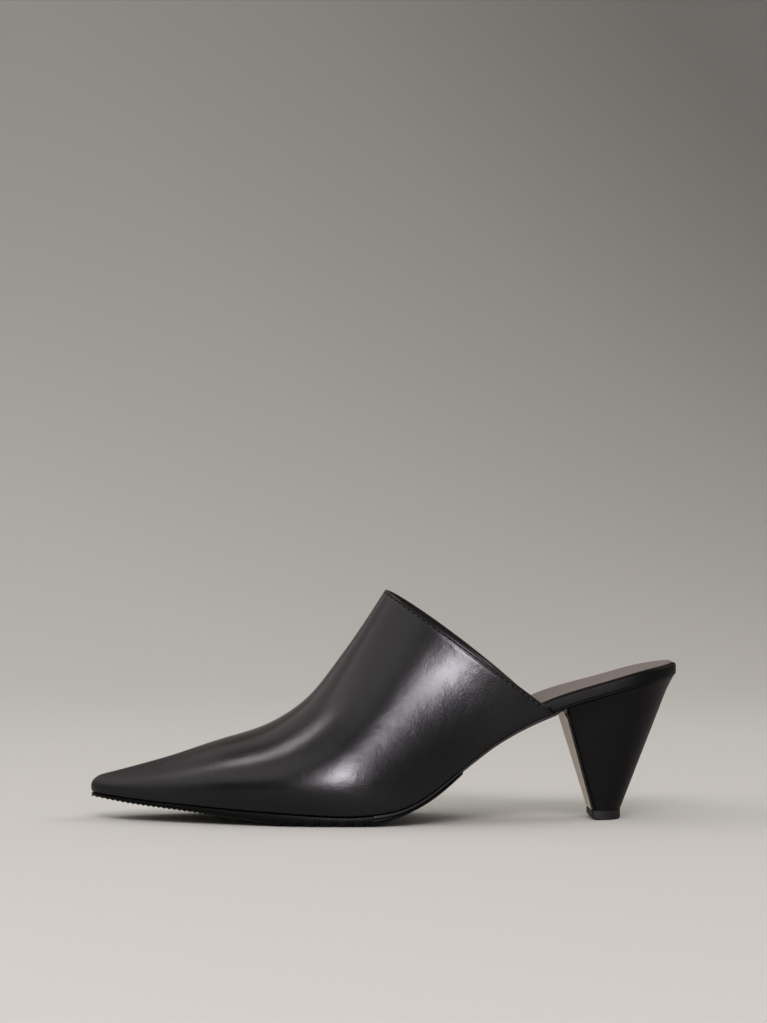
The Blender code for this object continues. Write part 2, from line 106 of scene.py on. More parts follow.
# Feather line from the side. Toe, heel and inner are shares of TOE_SPRING, HEEL_RISE
# and INNER_WAIST_RISE above the ball.
FEATHER = table("along toe heel inner", [
    (0.000, 1.000, 0.000, 0.0),
    (0.065, 0.790, 0.000, 0.0),
    (0.130, 0.610, 0.000, 0.0),
    (0.200, 0.440, 0.000, 0.0),
    (0.270, 0.280, 0.000, 0.0),
    (0.340, 0.150, 0.000, 0.0),
    (0.400, 0.040, 0.000, 0.0),
    (0.440, 0.000, 0.002, 0.0),
    (0.480, 0.000, 0.014, 0.1),
    (0.520, 0.000, 0.044, 0.3),
    (0.561, 0.000, 0.122, 0.6),
    (0.627, 0.000, 0.334, 0.9),
    (0.685, 0.000, 0.517, 1.0),
    (0.740, 0.000, 0.649, 0.9),
    (0.785, 0.000, 0.732, 0.6),
    (0.862, 0.000, 0.841, 0.1),
    (0.931, 0.000, 0.924, 0.0),
    (1.000, 0.000, 1.000, 0.0),
])

# Top of the insole above the feather line, as a share of SEAT_THICKNESS.
INSOLE = table("along top", [
    (0.000, 0.54),
    (0.150, 0.56),
    (0.400, 0.62),
    (0.600, 0.76),
    (0.700, 0.93),
    (0.780, 1.00),
    (0.880, 0.97),
    (0.940, 0.98),
    (1.000, 0.82),
])


def spline(places, values):
    """A natural cubic curve through the given values, as a function."""
    count = len(places)
    step = np.diff(places)
    slope = np.diff(values) / step
    matrix = np.eye(count)
    right = np.zeros(count)
    for row in range(1, count - 1):
        matrix[row, row - 1] = step[row - 1]
        matrix[row, row] = 2 * (step[row - 1] + step[row])
        matrix[row, row + 1] = step[row]
        right[row] = 6 * (slope[row] - slope[row - 1])
    bend = np.linalg.solve(matrix, right)

    def curve(at):
        piece = min(max(int(np.searchsorted(places, at)) - 1, 0), count - 2)
        width = step[piece]
        after = at - places[piece]
        before = places[piece + 1] - at
        return (
            (bend[piece] * before**3 + bend[piece + 1] * after**3) / (6 * width)
            + (values[piece] / width - bend[piece] * width / 6) * before
            + (values[piece + 1] / width - bend[piece + 1] * width / 6) * after
        )

    return curve


def curves(rows):
    """One curve for each column of a table, along the shoe."""
    return {name: spline(rows["along"], rows[name]) for name in rows if name != "along"}


def turn_at(x):
    """The plan's outline runs by an angle that is 0 at the toe and pi at the back, for round ends."""
    return math.acos(min(max(1 - 2 * x / LAST_LENGTH, -1.0), 1.0))


def x_at(turn):
    return LAST_LENGTH * (1 - math.cos(turn)) / 2


plan_turns = np.arccos(1 - 2 * PLAN["along"])
plan_centre = spline(plan_turns, PLAN["centre"])
plan_half = spline(plan_turns, PLAN["half"])
feather = curves(FEATHER)
insole_top = spline(INSOLE["along"], INSOLE["top"])


def outline(turn, side):
    y = BALL_WIDTH * (plan_centre(turn) + side * plan_half(turn))
    return np.array([x_at(turn), y])


def outward(turn, side):
    """The direction that points away from the last, square to its outline."""
    nudge = 0.002
    along = outline(turn + nudge, side) - outline(turn - nudge, side)
    if abs(turn) < nudge:
        along = np.array([0.0, side])
    square = side * np.array([-along[1], along[0]])
    return square / np.linalg.norm(square)


def edge(turn, side, outset):
    return outline(turn, side) + outset * outward(turn, side)


def from_middle(x, y):
    """Where a place lies across the last, from -1 at its outer edge to 1 at its inner edge."""
    turn = turn_at(x)
    half = max(BALL_WIDTH * plan_half(turn), GAP)
    return min(max((y - BALL_WIDTH * plan_centre(turn)) / half, -1.0), 1.0)


def bottom(x, y):
    """Height of the last's bottom, straight across from the outer feather line to the inner one."""
    inner_share = from_middle(x, y) / 2 + 0.5
    along = min(max(x / LAST_LENGTH, 0.0), 1.0)
    height = LAST_FLOOR
    height += TOE_SPRING * feather["toe"](along)
    height += HEEL_RISE * feather["heel"](along)
    height += INNER_WAIST_RISE * feather["inner"](along) * inner_share
    return height


insole_low, insole_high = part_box("insole")
insole_back = max(edge(math.pi - END_TURN, side, -INSOLE_EASE)[0] for side in (OUTER, INNER))
widest = [edge(turn, side, -INSOLE_EASE)[1] for turn in WIDEST_TURNS for side in (OUTER, INNER)]
LAST_TOE = np.array([
    insole_high.x - insole_back,
    (insole_low.y + insole_high.y - min(widest) - max(widest)) / 2,
    0.0,
])


def add_piece(name, points, faces, material, soft_angle=40):
    """A mesh piece on the last's place, smooth where its faces turn by less than soft_angle degrees."""
    mesh = bpy.data.meshes.new(name)
    mesh.from_pydata([tuple(point + LAST_TOE) for point in points], [], faces)
    work = bmesh.new()
    work.from_mesh(mesh)
    bmesh.ops.recalc_face_normals(work, faces=work.faces)
    work.to_mesh(mesh)
    work.free()
    mesh.shade_smooth()
    mesh.set_sharp_from_angle(angle=math.radians(soft_angle))
    mesh.materials.append(material)
    piece = bpy.data.objects.new(name, mesh)
    bpy.context.scene.collection.objects.link(piece)
    return piece


def ring_faces(count, rings):
    """Faces between closed rings of equal count, one after the other."""
    faces = []
    for start in range(0, count * (rings - 1), count):
        for place in range(count):
            after = (place + 1) % count
            faces.append((start + place, start + after, start + count + after, start + count + place))
    return faces


def add_cap(points, faces, ring_start, count, height_at, rungs):
    """Closes a ring by rungs from its outer to its inner side, at the heights that height_at gives."""
    half = count // 2
    grid = []
    for low in range(half):
        high = count - 1 - low
        first = points[ring_start + low]
        last = points[ring_start + high]
        line = [ring_start + low]
        for rung in range(1, rungs):
            point = first + (last - first) * rung / rungs
            point[2] = height_at(point[0], point[1], rung / rungs)
            line.append(len(points))
            points.append(point)
        line.append(ring_start + high)
        grid.append(line)
    for one, two in zip(grid, grid[1:]):
        for rung in range(rungs):
            faces.append((one[rung], one[rung + 1], two[rung + 1], two[rung]))


def capped_rings(points, count, rings, first_at, last_at, rungs):
    """Faces of a solid made of rings, with a cap on the first ring and one on the last."""
    faces = ring_faces(count, rings)
    add_cap(points, faces, 0, count, first_at, rungs)
    add_cap(points, faces, count * (rings - 1), count, last_at, rungs)
    return faces


def srgb(code):
    """The linear colour of an sRGB hex value, with alpha."""
    shares = [int(code[place:place + 2], 16) / 255 for place in (1, 3, 5)]
    return tuple(c / 12.92 if c <= 0.04045 else ((c + 0.055) / 1.055) ** 2.4 for c in shares) + (1.0,)


def add_node(tree, kind, inputs=(), links=(), **settings):
    """One node with its settings, its own values and the sockets that feed it."""
    made = tree.nodes.new(kind)
    for name, value in settings.items():
        setattr(made, name, value)
    for socket, value in inputs:
        made.inputs[socket].default_value = value
    for socket, source in links:
        tree.links.new(source, made.inputs[socket])
    return made


def new_finish(name, colour, roughness, **values):
    """A material with its even values set on the shader itself."""
    finish = bpy.data.materials.new(name)
    finish.use_nodes = True
    shader = finish.node_tree.nodes["Principled BSDF"]
    shader.inputs["Base Color"].default_value = srgb(colour)
    shader.inputs["Roughness"].default_value = roughness
    for socket, value in values.items():
        shader.inputs[socket.replace("_", " ")].default_value = value
    return finish, finish.node_tree, shader


CLOUD_LENGTH = 0.030
WAVE_LENGTH = 0.006
PEBBLE_SOFTNESS = 0.6
PORES_PER_PEBBLE = 2.2
PORE_LOW = 0.3
PORE_HIGH = 0.7


def grained_leather(name, light, dark, grain, grain_depth, wave_depth, rough_low, rough_high, **values):
    """Finished cowhide: fine raised pebbles on slow waves, a little uneven in colour and gloss."""
    finish, tree, shader = new_finish(name, light, rough_low, **values)
    place = add_node(tree, "ShaderNodeTexCoord").outputs["Object"]

    def noise(scale, detail):
        made = add_node(
            tree, "ShaderNodeTexNoise",
            inputs=[("Scale", scale), ("Detail", detail)],
            links=[("Vector", place)],
        )
        return made.outputs["Fac"]

    clouds = noise(1 / CLOUD_LENGTH, 3.0)
    pores = noise(PORES_PER_PEBBLE / grain, 2.0)
    wavy = add_node(
        tree, "ShaderNodeBump",
        inputs=[("Strength", 1.0), ("Distance", wave_depth)],
        links=[("Height", noise(1 / WAVE_LENGTH, 1.0))],
    )
    pebbles = add_node(
        tree, "ShaderNodeTexVoronoi", feature="SMOOTH_F1",
        inputs=[("Scale", 1 / grain), ("Smoothness", PEBBLE_SOFTNESS)],
        links=[("Vector", place)],
    )
    relief = add_node(
        tree, "ShaderNodeMath", operation="ADD",
        links=[(0, pebbles.outputs["Distance"]), (1, pores)],
    )
    bump = add_node(
        tree, "ShaderNodeBump",
        inputs=[("Strength", 1.0), ("Distance", grain_depth)],
        links=[("Height", relief.outputs[0]), ("Normal", wavy.outputs["Normal"])],
    )
    tree.links.new(bump.outputs["Normal"], shader.inputs["Normal"])
    colour = add_node(
        tree, "ShaderNodeMix", data_type="RGBA",
        inputs=[("A", srgb(dark)), ("B", srgb(light))],
        links=[("Factor", clouds)],
    )
    tree.links.new(colour.outputs["Result"], shader.inputs["Base Color"])
    gloss = add_node(
        tree, "ShaderNodeMapRange",
        inputs=[
            ("From Min", PORE_LOW), ("From Max", PORE_HIGH), ("To Min", rough_low), ("To Max", rough_high),
        ],
        links=[("Value", pores)],
    )
    tree.links.new(gloss.outputs["Result"], shader.inputs["Roughness"])
    return finish


# Thin black nappa, finished smooth: a soft sheen and grain that hardly shows.
wrap_nappa = grained_leather(
    "wrap_nappa", "#090808", "#060505", 0.0007, 0.000010, 0.00003, 0.44, 0.54, Specular_IOR_Level=0.10,
)

RIM_STEPS = 6
PLATE_STATIONS = 110
PLATE_RUNGS = 10


def around(turns):
    """The last's edge as one line: down the outer side from the toe, back along the inner side."""
    return [(turn, OUTER) for turn in turns] + [(turn, INNER) for turn in turns[::-1]]


def plate_turns(start, end, count=PLATE_STATIONS):
    return [start + (end - start) * place / count for place in range(count + 1)]


def insole_low_at(x):
    step = min(max((x - TOPLINE_END) / GAP, 0.0), 1.0)
    return (LASTING_THICKNESS + GAP) * (1 - step)


def insole_profile(x):
    """Outset and height of the wrap's edge, from the tuck under the board up to the top of the rim."""
    low = insole_low_at(x)
    high = SEAT_THICKNESS * insole_top(x / LAST_LENGTH)
    line = [
        (-INSOLE_FOOT, low),
        (0.0, low + INSOLE_FOOT),
        (0.0, low + TUCK_HEIGHT - TUCK_DEPTH),
        (-TUCK_DEPTH, low + TUCK_HEIGHT),
        (0.0, low + TUCK_HEIGHT + TUCK_DEPTH),
        (0.0, low + 2 * TUCK_HEIGHT),
    ]
    for step in range(RIM_STEPS + 1):
        angle = math.pi / 2 * step / RIM_STEPS
        line.append((INSOLE_RIM * (math.cos(angle) - 1), high + INSOLE_RIM * (math.sin(angle) - 1)))
    return line


def make_insole():
    line = around(
        plate_turns(END_TURN, turn_at(TOPLINE_END)) + plate_turns(turn_at(TOPLINE_END + GAP), BACK_TURN)
    )
    profiles = [insole_profile(x_at(turn)) for turn, _ in line]
    points = []
    for step in range(len(profiles[0])):
        for (turn, side), profile in zip(line, profiles):
            outset, height = profile[step]
            flat = edge(turn, side, outset - INSOLE_EASE)
            points.append(np.append(flat, bottom(*flat) + height))
    faces = capped_rings(
        points, len(line), len(profiles[0]),
        lambda x, y, rung: bottom(x, y) + insole_low_at(x),
        lambda x, y, rung: bottom(x, y) + SEAT_THICKNESS * insole_top(x / LAST_LENGTH),
        PLATE_RUNGS,
    )
    return points, faces


insole_piece = add_piece("insole_wrap", *make_insole(), wrap_nappa, soft_angle=60)
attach(insole_piece, "root")
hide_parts("insole")


# Vamp
# One piece of smooth black calf pulled over the last, turned in under it, and folded at the
# topline. Wet lasting draws it tight, so it lies smooth but for small puckers over the toe.
VAMP_HEIGHT = 0.0998
TOPLINE_INNER_LEAD = 0.0042
WALL = 0.0020
LASTING_MARGIN = 0.0100
FEATHER_ROUND = 0.0012
SIDE_FULLNESS = 0.0050
TOPLINE_BOW = 0.0031
TOE_OPENING_SETBACK = 0.0140
VAMP_ROWS = 44
VAMP_STATIONS = 130
FOLD_STEPS = 8
FOLD_RADIUS = WALL / 2
STITCH_INSET = 0.0017
STITCH_TROUGH = 0.00022
RIDGE_SWAY = 0.6
LEAD_POWER = 8
BOW_POWER = 0.75
PUCKER_END = 0.045
PUCKER_CLEARANCE = 0.004
PUCKER_POWER = 0.8
REGULAR_END = 0.0055

# Ridge of the vamp from the side, above the feather line. Height is a share of VAMP_HEIGHT.
RIDGE = table("along height", [
    (0.019, 0.091),
    (0.067, 0.139),
    (0.136, 0.208),
    (0.219, 0.298),
    (0.290, 0.372),
    (0.335, 0.446),
    (0.370, 0.530),
    (0.413, 0.681),
    (0.455, 0.839),
    (0.499, 1.009),
])

# Where the section that starts at along on the feather line meets the ridge.
# Lean is 1 where the section lies in one plane and 0 where it fans around the toe.
FAN = table("along ridge lean", [
    (0.000, 0.019, 0.0),
    (0.041, 0.050, 0.0),
    (0.141, 0.134, 0.5),
    (0.271, 0.234, 1.0),
    (0.401, 0.318, 1.0),
    (0.539, 0.390, 1.0),
    (0.665, 0.448, 1.0),
    (0.782, 0.499, 1.0),
])

# Shape of the upper's sections. Side and top are the powers of the arch, outer and inner
# are shares of SIDE_FULLNESS, bow_outer and bow_inner shares of TOPLINE_BOW.
ARCH = table("along side top outer inner bow_outer bow_inner", [
    (0.000, 1.00, 0.90, 0.10, 0.10, 0.00, 0.00),
    (0.100, 0.97, 0.88, 0.22, 0.20, 0.00, 0.00),
    (0.250, 0.94, 0.88, 0.35, 0.25, 0.00, 0.00),
    (0.420, 0.94, 0.84, 0.45, 0.40, 0.00, 0.00),
    (0.540, 0.94, 0.80, 0.60, 0.80, 0.04, 0.15),
    (0.665, 0.92, 0.76, 0.70, 1.00, 0.13, 0.60),
    (0.782, 0.88, 0.74, 0.65, 0.90, 0.26, 1.00),
])

# The round from the lasting margin to the feather line, inward and up in shares of FEATHER_ROUND.
MARGIN_ROUND = table("inward up", [
    (1.00, 0.00),
    (0.62, 0.07),
    (0.30, 0.30),
    (0.08, 0.62),
])

# Small puckers over the toe, seen from above. Each runs from one place to the other, and
# lift is above zero for a ridge and below it for a trough. All in millimetres.
PUCKERS = table("x y x_end y_end width lift", [
    (10.0, -7.6, 17.5, -9.8, 0.8, -0.16),
    (13.0, -9.9, 22.0, -11.8, 0.7, 0.14),
    (19.5, -8.6, 27.0, -11.0, 0.8, -0.18),
    (24.0, -10.8, 33.0, -13.6, 0.7, 0.14),
    (28.0, -13.4, 37.0, -16.4, 0.9, -0.14),
    (14.0, 6.5, 24.0, 9.5, 1.0, -0.12),
    (22.0, 8.0, 31.0, 11.0, 1.0, 0.10),
])

ridge_height = spline(RIDGE["along"], RIDGE["height"])
fan = curves(FAN)
arch = curves(ARCH)


def ridge(along):
    """The highest point of the vamp's section."""
    x = LAST_LENGTH * along
    y = BALL_WIDTH * plan_centre(turn_at(x)) * RIDGE_SWAY
    z = bottom(x, y) + VAMP_HEIGHT * ridge_height(along)
    return np.array([x, y, z])


def base_turn(turn, side):
    """Where a section starts on its feather line. The inner end of the topline leads the outer one."""
    if side == OUTER:
        return turn
    x = x_at(turn)
    return turn_at(x - TOPLINE_INNER_LEAD * (x / TOPLINE_END) ** LEAD_POWER)


def wall_line(turn, side, depth, rows=VAMP_ROWS):
    """One side of a section, from the feather line up to the ridge, depth inside the upper's face."""
    along = x_at(turn) / LAST_LENGTH
    turn = base_turn(turn, side)
    away = np.append(outward(turn, side), 0.0)
    flat_base = edge(turn, side, WALL + GAP - depth)
    rise = FEATHER_ROUND if depth == 0 else LASTING_THICKNESS
    base = np.append(flat_base, bottom(*flat_base) + rise)
    top = ridge(fan["ridge"](along))
    down = base - top
    down[1] = 0.0
    down /= np.linalg.norm(down)
    top = top + depth * down
    back = np.array([-down[2], 0.0, down[0]])
    side_power = arch["side"](along)
    top_power = arch["top"](along)
    lean = min(max(fan["lean"](along), 0.0), 1.0)
    full = SIDE_FULLNESS * arch["outer" if side == OUTER else "inner"](along)
    bow = TOPLINE_BOW * arch["bow_outer" if side == OUTER else "bow_inner"](along)
    line = []
    for row in range(rows + 1):
        angle = math.pi / 2 * (row / rows) ** (1 / top_power)
        inward = 1 - max(math.cos(angle), 0.0) ** side_power
        upward = math.sin(angle) ** top_power
        share = np.array([lean * upward + (1 - lean) * inward, inward, upward])
        point = base + (top - base) * share
        point = point + away * full * math.sin(math.pi * upward)
        point = point + back * bow * (4 * upward * (1 - upward)) ** BOW_POWER
        line.append(point)
    return line


def margin_line(turn, side, depth):
    """The turned-in lasting margin of a section, from its cut edge out to the feather line."""
    turn = base_turn(turn, side)
    tip = edge(0.0, side, WALL + GAP)
    flat_base = edge(turn, side, WALL + GAP - depth)
    centre = BALL_WIDTH * plan_centre(turn)
    outer_base = edge(turn, side, WALL + GAP)
    half = abs(outer_base[1] - centre)
    cut = np.array([
        tip[0] + math.hypot(outer_base[0] - tip[0], TOE_OPENING_SETBACK),
        centre + side * half**2 / (half + LASTING_MARGIN),
    ])
    away = outward(turn, side)
    rise = 0.0 if depth == 0 else LASTING_THICKNESS
    line = [np.append(cut, bottom(*cut) + rise)]
    for inward, up in zip(*MARGIN_ROUND.values()):
        flat = flat_base - away * FEATHER_ROUND * inward
        lifted = FEATHER_ROUND * up if depth == 0 else rise
        line.append(np.append(flat, bottom(*flat) + lifted))
    return line


def pucker_lift(x, y):
    """Height that the puckers add at a place over the toe."""
    lift = 0.0
    for x0, y0, x1, y1, width, high in zip(*PUCKERS.values()):
        run = np.array([x1 - x0, y1 - y0])
        off = np.array([x * 1000 - x0, y * 1000 - y0])
        along = float(off @ run) / float(run @ run)
        if not 0 < along < 1:
            continue
        aside = float(np.linalg.norm(off - along * run))
        lift += high / 1000 * math.exp(-((aside / width) ** 2)) * math.sin(math.pi * along) ** PUCKER_POWER
    return lift


def section_line(turn, side, depth):
    """A whole section of the upper, with its puckers."""
    line = margin_line(turn, side, depth) + wall_line(turn, side, depth)
    if depth == 0:
        for point in line:
            if point[0] < PUCKER_END and point[2] > bottom(point[0], point[1]) + PUCKER_CLEARANCE:
                point[2] += pucker_lift(point[0], point[1])
    return line


def fold_frame(side, row):
    """Edge, inward and backward directions of the topline at one row of its section."""
    end = turn_at(TOPLINE_END)
    before = turn_at(TOPLINE_END - 2 * WALL)
    at = fold_lines[(side, 0, end)][row]
    deep = fold_lines[(side, WALL, end)][row]
    ahead = fold_lines[(side, 0, before)][row]
    run = (at - ahead) / np.linalg.norm(at - ahead)
    inward = deep - at
    inward = inward - run * float(inward @ run)
    return at, inward / np.linalg.norm(inward), run


fold_lines = {}
for side in (OUTER, INNER):
    for depth in (0, WALL):
        for x in (TOPLINE_END, TOPLINE_END - 2 * WALL):
            fold_lines[(side, depth, turn_at(x))] = section_line(turn_at(x), side, depth)
SECTION = len(fold_lines[(OUTER, 0, turn_at(TOPLINE_END))])

# Extra sections close to the topline: how far each lies before its edge, and how deep the
# stitches press the leather there, as a share of STITCH_TROUGH.
NEAR_EDGE = table("before press", [
    (0.0040, 0.0),
    (0.0031, 0.05),
    (0.0025, 0.3),
    (0.0021, 0.8),
    (0.0018, 1.0),
    (0.0015, 0.9),
    (0.0012, 0.3),
    (0.0010, 0.0),
])


def vamp_sections(side):
    """Outer and inner lines of every section from the toe to the topline, then the fold's round."""
    lines = []
    end_turn = turn_at(TOPLINE_END - REGULAR_END)
    for turn in plate_turns(0.0, end_turn, VAMP_STATIONS):
        lines.append((section_line(turn, side, 0), section_line(turn, side, WALL)))
    frames = [fold_frame(side, row) for row in range(SECTION)]
    for before, press in zip(NEAR_EDGE["before"], NEAR_EDGE["press"]):
        outer = [at - run * before + inward * STITCH_TROUGH * press for at, inward, run in frames]
        deep = [at - run * before + inward * WALL for at, inward, run in frames]
        lines.append((outer, deep))
    return lines, frames


def wall_mesh(last, rows, edge_steps, point_at):
    """A wall through its sections: both sides of it, its lower edge and its topline edge.

    Sections are numbered from -last on the outer side to last on the inner one, and the two
    sides share their points on the ridge, which is the last row.
    """
    points = []
    places = {}

    def index(face, number, row):
        side = OUTER if number < 0 else INNER
        key = (face, abs(number) if row == rows else number, row)
        if key not in places:
            places[key] = len(points)
            points.append(point_at(side, face, abs(number), row))
        return places[key]

    def patch(one, number_one, two, number_two, row):
        return (
            index(one, number_one, row),
            index(two, number_two, row),
            index(two, number_two, row + 1),
            index(one, number_one, row + 1),
        )

    faces = []
    for number in range(-last, last):
        faces += [patch(face, number, face, number + 1, row) for face in (0, 1) for row in range(rows)]
        corners = ((0, number), (0, number + 1), (1, number + 1), (1, number))
        faces.append(tuple(index(face, place, 0) for face, place in corners))
    for number in (-last, last):
        for one, two in zip(edge_steps, edge_steps[1:]):
            faces += [patch(one, number, two, number, row) for row in range(rows)]
        if len(edge_steps) > 2:
            faces.append(tuple(index(step, number, 0) for step in edge_steps))
    return points, faces


def make_vamp():
    sections = {side: vamp_sections(side) for side in (OUTER, INNER)}
    fold_steps = [0] + [step / FOLD_STEPS for step in range(1, FOLD_STEPS)] + [1]

    def point_at(side, face, number, row):
        lines, frames = sections[side]
        if isinstance(face, int):
            return lines[number][face][row]
        at, inward, run = frames[row]
        angle = math.pi * face
        return at + FOLD_RADIUS * (run * (math.sin(angle) - 1) + inward * (1 - math.cos(angle)))

    return wall_mesh(len(sections[OUTER][0]) - 1, SECTION - 1, fold_steps, point_at)


# Where the toe is duller from wiping and handling: from and to, along the shoe.
DULL_TOE = (-0.105, -0.070)
TOE_DULLING = 0.24

# Black calf with a pigment finish: a clear soft highlight, broken up by a very fine grain.
# Real grain is about 0.3 mm; it is drawn at 0.8 mm so that the highlight breaks up in the render.
black_calf = grained_leather(
    "black_calf", "#0a080a", "#060506", 0.0008, 0.000024, 0.00009, 0.20, 0.27,
    Specular_IOR_Level=0.27,
)
tree = black_calf.node_tree
shader = tree.nodes["Principled BSDF"]
length = add_node(
    tree, "ShaderNodeSeparateXYZ",
    links=[("Vector", add_node(tree, "ShaderNodeTexCoord").outputs["Object"])],
)
dulling = add_node(
    tree, "ShaderNodeMapRange",
    inputs=[
        ("From Min", DULL_TOE[0]), ("From Max", DULL_TOE[1]), ("To Min", TOE_DULLING), ("To Max", 0.0),
    ],
    links=[("Value", length.outputs["X"])],
)
gloss = add_node(
    tree, "ShaderNodeMath", operation="ADD",
    links=[(0, shader.inputs["Roughness"].links[0].from_socket), (1, dulling.outputs["Result"])],
)
tree.links.new(gloss.outputs[0], shader.inputs["Roughness"])
vamp = add_piece("vamp", *make_vamp(), black_calf, soft_angle=70)
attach(vamp, "root")
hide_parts("upper")


# Vamp lining
# A thin black textile-backed lining glued inside the vamp, trimmed just under the fold.
LINING_THICKNESS = 0.00025
LINING_START = 0.0040
LINING_BITE = 0.00003


def make_vamp_lining():
    turns = plate_turns(0.0, turn_at(TOPLINE_END - LINING_START), VAMP_STATIONS)
    lines = {
        (side, number, face): wall_line(turn, side, WALL - LINING_BITE + face * LINING_THICKNESS)
        for side in (OUTER, INNER)
        for number, turn in enumerate(turns)
        for face in (0, 1)
    }
    return wall_mesh(
        VAMP_STATIONS, VAMP_ROWS, [0, 1], lambda side, face, number, row: lines[(side, number, face)][row],
    )


# Brushed black lining: dark and matt, with a short nap.
lining_cloth = grained_leather(
    "lining_cloth", "#060506", "#040304", 0.0009, 0.000030, 0.00002, 0.75, 0.9, Specular_IOR_Level=0.06,
)
vamp_lining = add_piece("vamp_lining", *make_vamp_lining(), lining_cloth)
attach(vamp_lining, "root")


# Topline stitches
# One row of black thread through fold and lining, close to the edge. Each stitch dives into
# a needle hole at both ends; each hole is drawn as a near-black disc of painted shade on the vamp's face.
STITCH_PITCH = 0.0030
STITCH_LENGTH = 0.0021
THREAD_RADIUS = 0.00026
HOLE_RADIUS = 0.00048
THREAD_SIDES = 6
THREAD_RINGS = 8
HOLE_SIDES = 10
STITCH_FIRST_ROW = 6
LOOK_AHEAD = 0.05
THREAD_ARCH = 1.70
THREAD_SINK = 1.15
THREAD_END = 0.55

# Rings of the painted-shade disc at each needle hole: size as a share of HOLE_RADIUS, and lift over the
# vamp's face.
HOLE_RINGS = table("size lift", [
    (1.0, 0.00001),
    (0.8, 0.00005),
])

vamp_surface = BVHTree.FromPolygons(
    [vertex.co for vertex in vamp.data.vertices], [face.vertices for face in vamp.data.polygons]
)
stitch_path = []
for side in (OUTER, INNER):
    line = []
    for row in range(SECTION):
        at, inward, run = fold_frame(side, row)
        line.append(at - run * STITCH_INSET)
    line = line[STITCH_FIRST_ROW:]
    stitch_path += line if side == OUTER else line[-2::-1]
stitch_path = np.array(stitch_path) + LAST_TOE
stitch_run = np.append(0.0, np.cumsum(np.linalg.norm(np.diff(stitch_path, axis=0), axis=1)))


def on_path(run):
    return np.array([np.interp(run, stitch_run, stitch_path[:, axis]) for axis in range(3)])


def on_vamp(place):
    """The nearest place on the vamp's face, and the direction out of it."""
    near, normal, _, _ = vamp_surface.find_nearest(place)
    return np.array(near), np.array(normal)


def circle(sides, one, two):
    """The directions of a ring's points, in the plane of one and two."""
    turns = [2 * math.pi * step / sides for step in range(sides)]
    return [one * math.cos(turn) + two * math.sin(turn) for turn in turns]


def closed_tube(first, sides, rings):
    """Faces of a tube of rings, closed at both ends, whose points start at first."""
    last_ring = sides * (rings - 1)
    faces = ring_faces(sides, rings) + [tuple(range(sides)), tuple(range(last_ring, last_ring + sides))]
    return [tuple(first + place for place in face) for face in faces]


def make_stitches():
    thread_points, thread_faces, hole_points, hole_faces = [], [], [], []
    for number in range(int(stitch_run[-1] / STITCH_PITCH)):
        start = (number + 0.5) * STITCH_PITCH - STITCH_LENGTH / 2
        thread_faces += closed_tube(len(thread_points), THREAD_SIDES, THREAD_RINGS + 1)
        for ring in range(THREAD_RINGS + 1):
            share = ring / THREAD_RINGS
            centre, out = on_vamp(on_path(start + STITCH_LENGTH * share))
            ahead = on_path(start + STITCH_LENGTH * (share + LOOK_AHEAD))
            ahead = ahead - on_path(start + STITCH_LENGTH * (share - LOOK_AHEAD))
            across = np.cross(ahead / np.linalg.norm(ahead), out)
            swell = math.sin(math.pi * share) ** 0.5
            rise = THREAD_RADIUS * (THREAD_ARCH * swell - THREAD_SINK)
            radius = THREAD_RADIUS * (THREAD_END + (1 - THREAD_END) * swell)
            for offset in circle(THREAD_SIDES, across, out):
                thread_points.append(centre + out * rise + offset * radius - LAST_TOE)
        centre, out = on_vamp(on_path((number + 1) * STITCH_PITCH))
        across = np.cross(out, [0.0, 0.0, 1.0])
        across /= np.linalg.norm(across)
        hole_faces += closed_tube(len(hole_points), HOLE_SIDES, len(HOLE_RINGS["size"]))
        for size, lift in zip(*HOLE_RINGS.values()):
            for offset in circle(HOLE_SIDES, across, np.cross(out, across)):
                hole_points.append(centre + offset * HOLE_RADIUS * size + out * lift - LAST_TOE)
    return (thread_points, thread_faces), (hole_points, hole_faces)


# Bonded polyester thread: black with a faint shine along its length.
black_thread = new_finish("black_thread", "#232122", 0.48)[0]
# Painted shade inside a needle hole: a near-black matt disc that stands in for the shadow in the hole.
needle_hole_shade = new_finish("needle_hole_shade", "#070607", 0.95, Specular_IOR_Level=0.1)[0]
thread_mesh, hole_shade_mesh = make_stitches()
topline_stitches = add_piece("topline_stitches", *thread_mesh, black_thread, soft_angle=80)
topline_hole_shades = add_piece("topline_hole_shades", *hole_shade_mesh, needle_hole_shade)
for piece in (topline_stitches, topline_hole_shades):
    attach(piece, "root")


# Waist outsole
# A thin sheet of taupe resin board cemented under the waist and turned down over the heel's
# breast. Its cut edge is inked black to go with the upper.
TREAD_OUTSET = 0.0022
OUTSOLE_THICKNESS = 0.0012
OUTSOLE_START = 0.1290
WAIST_CROWN = 0.0032
BREAST_FILLET = 0.0015
HEEL_TOP_LENGTH = 0.0532
HEEL_INSET = 0.0010
HEEL_FLARE = 0.0010
HEEL_FLARE_HEIGHT = 0.0090
HEEL_TURN = math.radians(3.0)
BREAST_CORNER = 0.0012
TIP_LENGTH = 0.0144
TIP_WIDTH = 0.0220
TIP_STRAIGHT = 0.0026
TIP_HEIGHT = 0.0044
TIP_SETBACK = 0.0263
SHEET_RUNGS = 12
INKED_SHARE = 0.03
WAIST_STATIONS = 50
BEND_STEPS = 5
BREAST_SHARES = (0.1, 0.2, 0.4, 0.6, 0.8, 1.0)

# Edge of the outsole beside the last and its crown across. Outset is in shares of
# TREAD_OUTSET, crown in shares of WAIST_CROWN.
OUTSOLE = table("along outset crown", [
    (0.470, 0.90, 0.0),
    (0.560, 0.88, 0.2),
    (0.610, 0.80, 0.8),
    (0.650, 0.72, 1.0),
    (0.690, 0.66, 0.7),
    (0.740, 0.50, 0.3),
    (0.780, 0.10, 0.1),
    (0.812, -0.70, 0.0),
])
outsole = curves(OUTSOLE)


